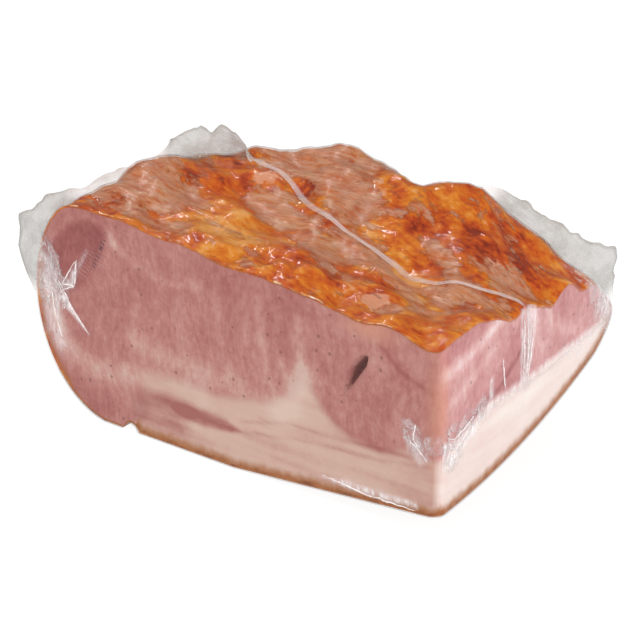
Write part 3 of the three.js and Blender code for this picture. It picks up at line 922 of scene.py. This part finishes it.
# Where the film lies double, it shows as a pale veil, and the strip along the foot of the long cut is a
# painted highlight on the film: outline, strength and softness.
sheen_and_double_on_long_cut = [
    ([(-193.7, 87.4), (-201.4, 78), (-211.8, 64.5), (-204.3, 65.6), (-199.9, 77.1)], 0.5, 0.9),
    ([(-214.6, 64), (-210.4, 61), (-204, 53.4), (-195.7, 44.3), (-206, 51.9), (-214.5, 57)], 0.55, 0.9),
    ([(-217.3, 62.3), (-213.2, 58.3), (-213.2, 34.8), (-215.4, 45.2)], 0.5, 1.0),
    ([(-225, 62), (-219.5, 59.7), (-214, 49), (-209, 34), (-214, 30), (-222, 39)], 0.35, 4.0),
    ([(-226, 80), (-218, 78.5), (-211.8, 67.8), (-211.6, 61.7), (-218, 58), (-226, 60)], 0.5, 2.5),
    # A painted highlight: the glossy strip along the foot of the long cut.
    ([(-61, 12), (-47.5, 14.5), (-10.5, 15.4), (-10.4, 12.9), (-20, 11.9), (-45, 10.8)], 0.5, 0.9),
    ([(-16.7, 45.8), (-11.8, 48.3), (-7.6, 43.4), (-5.5, 37.9), (-9.4, 34.7), (-14.6, 38.8)], 0.4, 2.0),
]
sheen_and_double_on_short_cut = [
    ([(-6, 42), (2, 46), (12, 44), (24, 46), (31, 50), (34, 47), (28, 41), (17, 37), (7, 32), (-6, 34)],
     0.6, 1.6),
    ([(24, 44), (37, 51.4), (64, 51), (112, 52.6), (142, 54), (142, 49), (90, 47), (64, 46.6), (44, 46)],
     0.38, 1.8),
    ([(61.5, 90), (75, 88), (75.5, 71.4), (73.4, 57.7), (70, 46.8), (64, 48.7)], 0.36, 1.0),
    ([(38, 62), (41, 62), (42, 52), (38, 52)], 0.4, 0.9),
    ([(128, 90), (148, 84), (148, 48), (134, 54)], 0.55, 5.0),
]


def veiled(u, v, table):
    total = np.zeros(u.shape)
    for corners, strength, softness in table:
        share = np.clip(0.5 - outline_distance(u, v, corners) / softness / 2, 0, 1)
        total = np.maximum(total, strength * share)
    return total


doubled_and_sheen = np.where(y < 0.3, veiled(x, z, sheen_and_double_on_long_cut), 0)
doubled_and_sheen = np.maximum(doubled_and_sheen, np.where(x > -0.3, veiled(y, z, sheen_and_double_on_short_cut), 0))
write(film.data, "doubled_and_sheen", doubled_and_sheen)


def make_crumple():
    """Sharp bright folds of crushed film, and the haze between them, as cover for pale film that carries
    a painted glow.
    """
    group, given, give = new_group(
        "crumple", [("Place", "Vector"), ("Amount", "Float"), ("Doubled and sheen", "Float")],
        [("Cover", "Float"), ("Height", "Float")],
    )
    bent = warped(group, given["Place"], 90, 0.006)
    coarse = grain(group, bent, 190, (1, 1, 0.7), (0.4, 0.3, 0), 2, 0.5)
    fine = grain(group, bent, 520, (1, 1, 0.7), (0.2, -0.4, 0), 2, 0.5)
    total = None
    for value, width in ((coarse, 0.035), (fine, 0.03)):
        gap = from_middle(group, value)
        line = ramp(group, gap, 0.0, width, 1.0, 0.0)
        total = line if total is None else maths(group, "MAXIMUM", total, line)
    cover = plus(group, times(group, total, 0.5), ramp(group, coarse, 0.35, 0.65, 0.04, 0.24))
    patchy = ramp(group, plus(group, given["Amount"], minus(group, coarse, 0.5)), 0.25, 0.7)
    wisps = grain(group, bent, 330, (1, 1, 0.35), (0.5, 0, 0), 3, 0.6)
    double_and_sheen = times(group, given["Doubled and sheen"], ramp(group, wisps, 0.35, 0.65, 0.45, 1.4))
    group.links.new(maths(group, "MAXIMUM", times(group, cover, patchy), double_and_sheen), give["Cover"])
    height = times(group, plus(group, coarse, total), patchy)
    group.links.new(maths(group, "MULTIPLY_ADD", double_and_sheen, 0.6, height), give["Height"])
    return group


crumple_group = make_crumple()
film_material, tree = new_material("shrink film")
place = add(tree, "TexCoord").outputs["Object"]
state = use(tree, cling, {"Place": place, "Stand off": field(tree, "stand_off")})
lifted = times(tree, state["Lifted"], field(tree, "over_crust"))
veil = times(tree, lifted, ramp(tree, state["Streaks"], 0.32, 0.68, 0.02, 0.3))
wet = times(tree, minus(tree, 1.0, lifted), field(tree, "over_crust"))
ripples = grain(tree, place, 170, (0.7, 1.4, 1), (0, 0, math.radians(28)), 3, 0.5)
wave = grain(tree, place, 50, detail=2, rough=0.5)
height = plus(tree, wave, times(tree, ripples, times(tree, wet, 1.3)))
height = plus(tree, height, times(tree, lifted, times(tree, state["Streaks"], 0.5)))
crushed = use(tree, crumple_group, {
    "Place": place, "Amount": field(tree, "crumple"), "Doubled and sheen": field(tree, "doubled_and_sheen"),
})
height = plus(tree, height, crushed["Height"])
bump = add(tree, "Bump", {"Height": height, "Strength": 0.7, "Distance": 0.0014}).outputs[0]
matt = ramp(tree, lifted, 0.0, 1.0, 0.06, 0.24)
gloss = add(tree, "BsdfGlossy", {"Roughness": matt, "Normal": bump}).outputs[0]
clear = add(tree, "BsdfTransparent").outputs[0]
shine = add(tree, "Fresnel", {"IOR": 1.4, "Normal": bump}).outputs[0]
shine = maths(tree, "MINIMUM", shine, 0.4)
sheet = add(tree, "MixShader", {0: shine, 1: clear, 2: gloss}).outputs[0]
milk = add(tree, "BsdfPrincipled", {
    "Base Color": (0.58, 0.42, 0.3, 1), "Roughness": 0.35, "Specular IOR Level": 0.2, "Normal": bump,
}).outputs[0]
sheet = add(tree, "MixShader", {0: veil, 1: sheet, 2: milk}).outputs[0]
# Crushed and doubled film is pale of itself; its emission is a painted glow that stands in for glints of
# the softboxes in the folds.
white_film_painted_glow = add(tree, "BsdfPrincipled", {
    "Base Color": (0.93, 0.89, 0.89, 1), "Roughness": 0.15, "Normal": bump,
    "Emission Color": (1.0, 0.96, 0.97, 1), "Emission Strength": 0.18,
}).outputs[0]
finish_material(tree, add(tree, "MixShader", {0: crushed["Cover"], 1: sheet, 2: white_film_painted_glow}).outputs[0])
film.data.materials.append(film_material)
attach(film, "root")

# The sealed edges
# Where the bag's spare film is welded and folded over, it stands up as a pale ridge across the
# top and down the short cut, and as crumpled ears at both far corners.

# The ridge over the top, (x, y) and height: an ear at the rounded end and one at the back.
lap_over_top = [
    (-228, 1, 2), (-227.6, 1, 9), (-226.5, 1.5, 16), (-224, 3, 19), (-221, 4, 17), (-217, 8, 11),
    (-212, 18, 5), (-207, 28, 6), (-204, 38, 6), (-202, 44, 2), (-199, 52, 1.5), (-196, 61, 7),
    (-192, 69, 14), (-189, 75, 17), (-187, 79, 16), (-185, 83, 11), (-182, 87, 15),
    (-178, 89, 16.5), (-173, 90, 16), (-169, 90, 10), (-165, 90, 4), (-162, 90, 6), (-158, 90, 3),
    (-137, 83, 3), (-107, 66, 3), (-90, 61, 3), (-62, 60, 3), (-36, 52, 3), (-25, 54, 3),
    (-12, 64, 3), (-1, 70, 3),
]
# On the short cut, (y, z) and height: the ridge goes on down it and ends on a fold.
lap_down_short_cut = [(72, 80, 2), (71.5, 68, 1.6), (68, 48, 1.6)]
fold_on_short_cut = [
    (30, 44, 1.2), (38, 48, 1.6), (52, 48, 1.4), (68, 48, 1.4), (88, 47, 1.4),
    (104, 49, 1.4), (120, 50, 1.8), (141, 52, 2.6),
]
ear_behind_short_cut = [
    (-1, 146, 4), (-1, 140, 9), (-1, 134, 15), (-3, 131, 18), (-9, 131, 15), (-21, 129, 13),
    (-31, 128, 9), (-40, 124, 9), (-48, 120, 7), (-54, 115, 1.5),
]


def on_top(x, y):
    """Points of the film over the top, and upright directions there that leave out the knobs."""
    psi = np.arctan2(y, -x)
    rho = np.minimum(np.hypot(x, y) / plan_radius(psi), 1)
    smooth = skin(rho, psi, True, film_gap)
    inward = skin(rho - 0.002, psi, True, film_gap)
    turned = skin(rho, psi + 0.002, True, film_gap)
    normal = np.cross(inward - smooth, turned - smooth)
    normal /= np.linalg.norm(normal, axis=-1, keepdims=True)
    return skin(rho, psi, True, film_gap, bridged), normal * np.sign(normal[..., 2:])


def on_short_cut(y, z):
    spot = np.stack([np.full_like(y, film_gap), y, z], -1)
    return spot, np.broadcast_to([1.0, 0.0, 0.0], spot.shape)


def laid(rows, surface, step):
    """Places, upright directions and widths every step along a path on a surface."""
    rows = np.array(rows, float)
    gaps = np.linalg.norm(np.diff(rows[:, :2], axis=0), axis=1)
    run = np.concatenate([[0], np.cumsum(gaps)])
    spots = np.linspace(0, run[-1], max(2, round(run[-1] / step)))
    first, second, wide = (np.interp(spots, run, column) for column in rows.T)
    place, upright = surface(first, second)
    return place, upright, wide


def evened(values, reach):
    """Values averaged with their neighbours along a path, ends kept."""
    for _ in range(reach):
        values = values.copy()
        values[1:-1] = (values[:-2] + 2 * values[1:-1] + values[2:]) / 4
    return values


ridge_height = 4.0


def standing_film(name, parts, seed, lie, rows=18, thickness=0.2):
    """A thin sheet that stands on a path, its free edge scalloped; narrow stretches lie over."""
    place, upright, wide = (np.concatenate(column) for column in zip(*parts))
    place, upright, wide = evened(place, 16), evened(upright, 60), evened(wide, 3)
    upright /= np.linalg.norm(upright, axis=-1, keepdims=True)
    ahead = evened(np.gradient(place, axis=0), 30)
    ahead /= np.linalg.norm(ahead, axis=-1, keepdims=True)
    side = np.cross(ahead, upright)
    side /= np.linalg.norm(side, axis=-1, keepdims=True)
    run = np.concatenate([[0], np.cumsum(np.linalg.norm(np.diff(place, axis=0), axis=1))])
    share = np.linspace(0, 1, rows)
    u, v = np.meshgrid(run, share, indexing="ij")
    tall = np.clip((wide[:, None] - ridge_height) / ridge_height, 0, 1)
    edge = 1 + tall * (0.3 * rumples(u, u * 0, 8, seed) + 0.06 * rumples(u, u * 0, 3, seed + 5))
    out = wide[:, None] * v * np.clip(edge, 0.6, 1.3)
    crumple = 1.8 * rumples(u, out * 0.5, 10, seed + 9)
    crumple = crumple + 0.3 * rumples(u * 0.5, out * 2.5, 4, seed + 13)
    sway = crumple * np.minimum(1, out / 6) * tall + 0.1 * out * np.sin(u / 9 + seed)
    over = np.radians(lie) * (1 - tall) * v
    grid = place[:, None] + upright[:, None] * (out * np.cos(over) - 0.5)[..., None]
    grid = grid + side[:, None] * (sway + out * np.sin(over))[..., None]
    normal = np.cross(np.gradient(grid, axis=0), np.gradient(grid, axis=1))
    normal /= np.maximum(np.linalg.norm(normal, axis=-1, keepdims=True), 1e-9)
    layers = np.concatenate([grid + normal * thickness / 2, grid - normal * thickness / 2])
    count = u.size
    ids = np.arange(count).reshape(u.shape)
    near = np.stack([ids[:-1, :-1], ids[1:, :-1], ids[1:, 1:], ids[:-1, 1:]], -1).reshape(-1, 4)
    rim = np.concatenate([ids[:, 0], ids[-1, 1:], ids[-2::-1, -1], ids[0, -2:0:-1]])
    ring = np.stack([rim, np.roll(rim, -1), np.roll(rim, -1) + count, rim + count], -1)
    fields = {"run": np.tile(u.ravel(), 2), "rise": np.tile(out.ravel(), 2)}
    fields["share"] = np.tile(v.ravel(), 2)
    fields["tall"] = np.tile(np.broadcast_to(tall, v.shape).ravel(), 2)
    sheet_faces = np.vstack([near, near[:, ::-1] + count, ring])
    return mesh_object(name, layers.reshape(-1, 3), sheet_faces, fields)


step = 0.9
lap = standing_film(
    "film_lap", [laid(lap_over_top, on_top, step), laid(lap_down_short_cut, on_short_cut, step)],
    seed=3.0, lie=70,
)
fold = standing_film("film_fold", [laid(fold_on_short_cut, on_short_cut, step)], seed=11.0, lie=60)
ear = standing_film("film_ear", [laid(ear_behind_short_cut, on_top, step)], seed=23.0, lie=0)

spare_film, tree = new_material("crumpled film")
place = add(tree, "TexCoord").outputs["Object"]
along = times(tree, field(tree, "run"), 0.06)
sheet_place = add(tree, "CombineXYZ", {"X": along, "Y": field(tree, "rise")}).outputs[0]
sheet_place = warped(tree, sheet_place, 0.5, 1.2)
pleats = add(tree, "TexNoise", {"Vector": sheet_place, "Scale": 1.1, "Detail": 3.0}).outputs[0]
cloudy = grain(tree, place, 90, detail=3)
fold_line = ramp(tree, from_middle(tree, pleats), 0.0, 0.05, 1.0, 0.0)
hem = ramp(tree, field(tree, "share"), 0.86, 1.0, 0.0, 0.25)
cover = plus(tree, ramp(tree, cloudy, 0.35, 0.65, 0.32, 0.5), times(tree, fold_line, 0.14))
cover = times(tree, plus(tree, cover, hem), ramp(tree, field(tree, "tall"), 0, 1, 0.45, 1.0))
bump = add(tree, "Bump", {"Height": pleats, "Strength": 0.35, "Distance": 0.0006}).outputs[0]
tint = blend(tree, field(tree, "tall"), (0.95, 0.86, 0.83, 1), (0.44, 0.415, 0.375, 1))
tint = blend(tree, times(tree, fold_line, 0.5), tint, (0.75, 0.73, 0.7, 1))
gloss = add(tree, "BsdfPrincipled", {
    "Base Color": tint, "Roughness": 0.25, "Normal": bump, "Alpha": cover,
}).outputs[0]
finish_material(tree, gloss)
for piece in (lap, fold, ear):
    piece.data.materials.append(spare_film)
    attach(piece, "root")
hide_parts("film")

# The bead and the creases
# Meat juice gathers under the film where it turns over the top edge of the long cut, and the film is
# drawn into sharp creases at the ends of both cuts. The bead also carries pale dashes, a painted
# highlight of the film's rounded edge, and the creases carry a painted white glint.


def make_crease_tree():
    """Sweeps a thin tapered bead along every path of a wire mesh."""
    sizes = [(name, "Float") for name in ("Thickness", "Unevenness", "Wander", "Seed")]
    tree, given, give = new_group(
        "bead along a path", [("Paths", "Geometry"), *sizes, ("Material", "Material")],
        [("Beads", "Geometry")], "GeometryNodeTree",
    )
    tree.is_modifier = True

    def step_of(kind, inputs=None, **settings):
        return add(tree, kind, inputs, "GeometryNode", **settings).outputs[0]

    def uneven(scale):
        seeded = {"Vector": place, "W": given["Seed"], "Scale": scale, "Detail": 2.0}
        return add(tree, "TexNoise", seeded, noise_dimensions="4D").outputs

    curve = step_of("MeshToCurve", {"Mesh": given["Paths"]})
    curve = step_of("ResampleCurve", {"Curve": curve, "Length": 0.0007}, mode="LENGTH")
    place = step_of("InputPosition")
    drift = uneven(260.0)["Color"]
    drift = add(tree, "VectorMath", {0: drift, 1: (0.5, 0.5, 0.5)}, operation="SUBTRACT").outputs[0]
    push = add(tree, "VectorMath", {0: drift, "Scale": given["Wander"]}, operation="SCALE").outputs[0]
    curve = step_of("SetPosition", {"Geometry": curve, "Offset": push})
    along = add(tree, "SplineParameter", family="GeometryNode").outputs["Factor"]
    taper = maths(tree, "POWER", maths(tree, "SINE", times(tree, along, math.pi)), 0.35)
    swell = maths(tree, "MULTIPLY_ADD", minus(tree, uneven(130.0)[0], 0.5), given["Unevenness"], 1.0)
    swell = maths(tree, "MAXIMUM", swell, 0.15)
    wide = times(tree, times(tree, taper, swell), given["Thickness"])
    wide = maths(tree, "MAXIMUM", wide, 0.00005)
    curve = step_of("SetCurveRadius", {"Curve": curve, "Radius": wide})
    ring = step_of("CurvePrimitiveCircle", {"Resolution": 8, "Radius": 1.0})
    swept = step_of("CurveToMesh", {
        "Curve": curve, "Profile Curve": ring, "Scale": wide, "Fill Caps": True,
    })
    swept = step_of("SetShadeSmooth", {"Geometry": swept})
    swept = step_of("RealizeInstances", {"Geometry": swept})
    swept = step_of("SetMaterial", {"Geometry": swept, "Material": given["Material"]})
    tree.links.new(swept, give["Beads"])
    return tree


crease_tree = make_crease_tree()


def beads(name, paths, material, **sizes):
    """A plain mesh of beads swept along paths in millimetres."""
    mesh = bpy.data.meshes.new(name)
    points, edges = [], []
    for path in paths:
        edges += [(len(points) + k, len(points) + k + 1) for k in range(len(path) - 1)]
        points += [tuple(np.array(p) * MM + corner_foot) for p in path]
    mesh.from_pydata(points, edges, [])
    thing = bpy.data.objects.new(name, mesh)
    bpy.context.scene.collection.objects.link(thing)
    sweep = thing.modifiers.new("sweep", "NODES")
    sweep.node_group = crease_tree
    values = dict(Material=material, **sizes)
    for item in crease_tree.interface.items_tree:
        if item.in_out == "INPUT" and item.name in values:
            sweep[item.identifier] = values[item.name]
    bpy.context.view_layer.update()
    done = bpy.data.meshes.new_from_object(thing.evaluated_get(bpy.context.evaluated_depsgraph_get()))
    thing.modifiers.clear()
    thing.data = done
    done.name = name
    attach(thing, "root")
    return thing


juice_and_painted_highlight, tree = new_material("amber juice with painted highlight")
place = add(tree, "TexCoord").outputs["Object"]
shade = grain(tree, place, 180, detail=3)
# Amber juice, whose pale and near-white stops are a painted highlight of the film's rounded top edge,
# shown as dashes.
finish_material(tree, add(tree, "BsdfPrincipled", {
    "Base Color": colour_ramp(tree, shade, (
        (0.35, (0.5, 0.1, 0.02)), (0.5, (0.68, 0.24, 0.05)), (0.58, (0.9, 0.62, 0.36)),
        (0.66, (1.0, 0.9, 0.72)),
    )),
    "Roughness": 0.08, "Alpha": ramp(tree, grain(tree, place, 85, detail=2), 0.44, 0.54, 0.0, 0.9),
}).outputs[0])

front_x = np.linspace(-206, -3, 110)
rho = -front_x / long_cut
edge_z = skin(rho, np.zeros_like(rho), True, 0.0, bridged)[:, 2]
bead_out, bead_up = 0.25, 0.1
top_edge = [(a, -bead_out, b + bead_up) for a, b in zip(front_x, edge_z)]
beads("juice_bead_and_painted_highlight", [top_edge], juice_and_painted_highlight, Thickness=0.00045, Unevenness=2.8, Wander=0.0008, Seed=4.0)

# The creases are pale film with a painted white glint: the bright base colour and the emission stand in
# for softbox light caught along the folds.
crease_film_painted_glint, tree = new_material("sharp film crease with painted glint")
place = add(tree, "TexCoord").outputs["Object"]
glint = grain(tree, place, 400, detail=2)
finish_material(tree, add(tree, "BsdfPrincipled", {
    "Base Color": blend(tree, glint, (0.7, 0.62, 0.6, 1), (0.95, 0.92, 0.9, 1)),
    "Roughness": 0.12, "Alpha": ramp(tree, glint, 0.35, 0.65, 0.3, 0.9),
    "Emission Color": (1.0, 0.97, 0.97, 1), "Emission Strength": 0.2,
}).outputs[0])
# Paths of the creases: (x, z) on the long cut, (y, z) on the short one.
front_creases = [
    [(-214, 66), (-210, 60), (-203, 52), (-196, 45)], [(-213, 68), (-207, 57), (-199, 48)],
    [(-211, 66), (-206, 67), (-203, 67)], [(-203, 67), (-202, 74), (-201, 81)],
    [(-211, 66), (-207, 72), (-201, 81)], [(-213, 62), (-209, 64), (-203, 67)],
    [(-218, 62), (-217, 52), (-213, 38)], [(-12, 53), (-13, 46), (-11, 42)],
    [(-15, 44), (-10, 41), (-6, 37)], [(-60, 13), (-36, 11), (-11, 11.6)],
]
side_creases = [
    [(64.5, 81), (65.4, 76), (66, 64), (66.5, 50)], [(74, 79), (73.6, 74), (72.6, 64), (70, 50)],
    [(68, 80), (69.5, 66), (69, 52)], [(48, 68), (49, 60), (51, 52)],
    [(4, 48), (10, 45), (18, 47), (26, 50)], [(6, 42), (12, 40), (20, 44)],
]
crease_out = 0.75
beads(
    "film_creases",
    [[(x, -crease_out, z) for x, z in path] for path in front_creases]
    + [[(crease_out, y, z) for y, z in path] for path in side_creases],
    crease_film_painted_glint, Thickness=0.00035, Unevenness=1.6, Wander=0.0012, Seed=9.0,
)

# The studio
# A white table under an even white tent, with four softboxes for the gloss of the film.

floor_mesh = bpy.data.meshes.new("table")
reach = 6
table_corners = [(-reach, -reach, 0), (reach, -reach, 0), (reach, reach, 0), (-reach, reach, 0)]
floor_mesh.from_pydata(table_corners, [], [(0, 1, 2, 3)])
floor = bpy.data.objects.new("table", floor_mesh)
bpy.context.scene.collection.objects.link(floor)
white, tree = new_material("white table")
rays = add(tree, "LightPath").outputs
glow = maths(tree, "MULTIPLY_ADD", rays["Is Camera Ray"], 0.27, 0.66)
finish_material(tree, add(tree, "BsdfPrincipled", {
    "Base Color": (0.12, 0.12, 0.12, 1), "Roughness": 0.9, "Specular IOR Level": 0.0,
    "Emission Color": (1, 1, 1, 1), "Emission Strength": glow,
}).outputs[0])
floor_mesh.materials.append(white)

world = bpy.data.worlds.new("tent")
bpy.context.scene.world = world
world.use_nodes = True
tree = world.node_tree
tree.nodes.clear()
rays = add(tree, "LightPath").outputs
tent = maths(tree, "MULTIPLY_ADD", rays["Is Camera Ray"], 0.5, 0.9)
tent = maths(tree, "MULTIPLY_ADD", rays["Is Glossy Ray"], -0.8, tent)
even_light = add(tree, "Background", {"Color": (1, 1, 1, 1), "Strength": tent}).outputs[0]
add(tree, "OutputWorld", {"Surface": even_light})

middle = Vector((0, 0, 0.06))


def softbox(name, direction, distance, size, radiance):
    light = bpy.data.lights.new(name, "AREA")
    light.shape = "RECTANGLE"
    light.size, light.size_y = size
    light.energy = radiance * size[0] * size[1] * math.pi
    lamp = bpy.data.objects.new(name, light)
    towards = Vector(direction).normalized()
    lamp.location = middle + towards * distance
    lamp.rotation_euler = towards.to_track_quat("Z", "Y").to_euler()
    bpy.context.scene.collection.objects.link(lamp)


softbox("front", (-0.53, -0.4, 0.75), 1.3, (0.18, 0.12), 32)
softbox("right", (1.0, -0.15, 0.42), 1.3, (0.36, 0.28), 13)
softbox("low front", (-0.35, -1.0, 0.4), 1.5, (0.9, 0.5), 1.25)
softbox("back", (-0.5, 0.4, 0.78), 1.3, (0.18, 0.12), 32)

# The camera
# It looks at the corner where the two cuts meet, from the front right and a little above.

azimuth = math.radians(36)
elevation = math.radians(24.5)
distance = 0.838
focal_pixels = 1976.0
picture_pixels = 640
sensor = 36.0
aim_height = 0.0115
aim = Vector(corner_foot) + Vector((0, 0, aim_height))
# The corner's foot shows this many pixels right of the middle of the picture, and below it.
aim_across, aim_down = 118.0, 198.0
right = Vector((math.cos(azimuth), math.sin(azimuth), 0))
back = Vector((
    math.sin(azimuth) * math.cos(elevation),
    -math.cos(azimuth) * math.cos(elevation),
    math.sin(elevation),
))
up = back.cross(right)
camera_data = bpy.data.cameras.new("camera")
camera_data.sensor_width = sensor
camera_data.lens = focal_pixels / picture_pixels * sensor
camera = bpy.data.objects.new("camera", camera_data)
camera.location = aim + (distance / focal_pixels) * (
    back * focal_pixels - right * aim_across + up * aim_down
)
camera.rotation_euler = back.to_track_quat("Z", "Y").to_euler()
bpy.context.scene.collection.objects.link(camera)
bpy.context.scene.camera = camera
bpy.context.scene.view_settings.view_transform = "Standard"
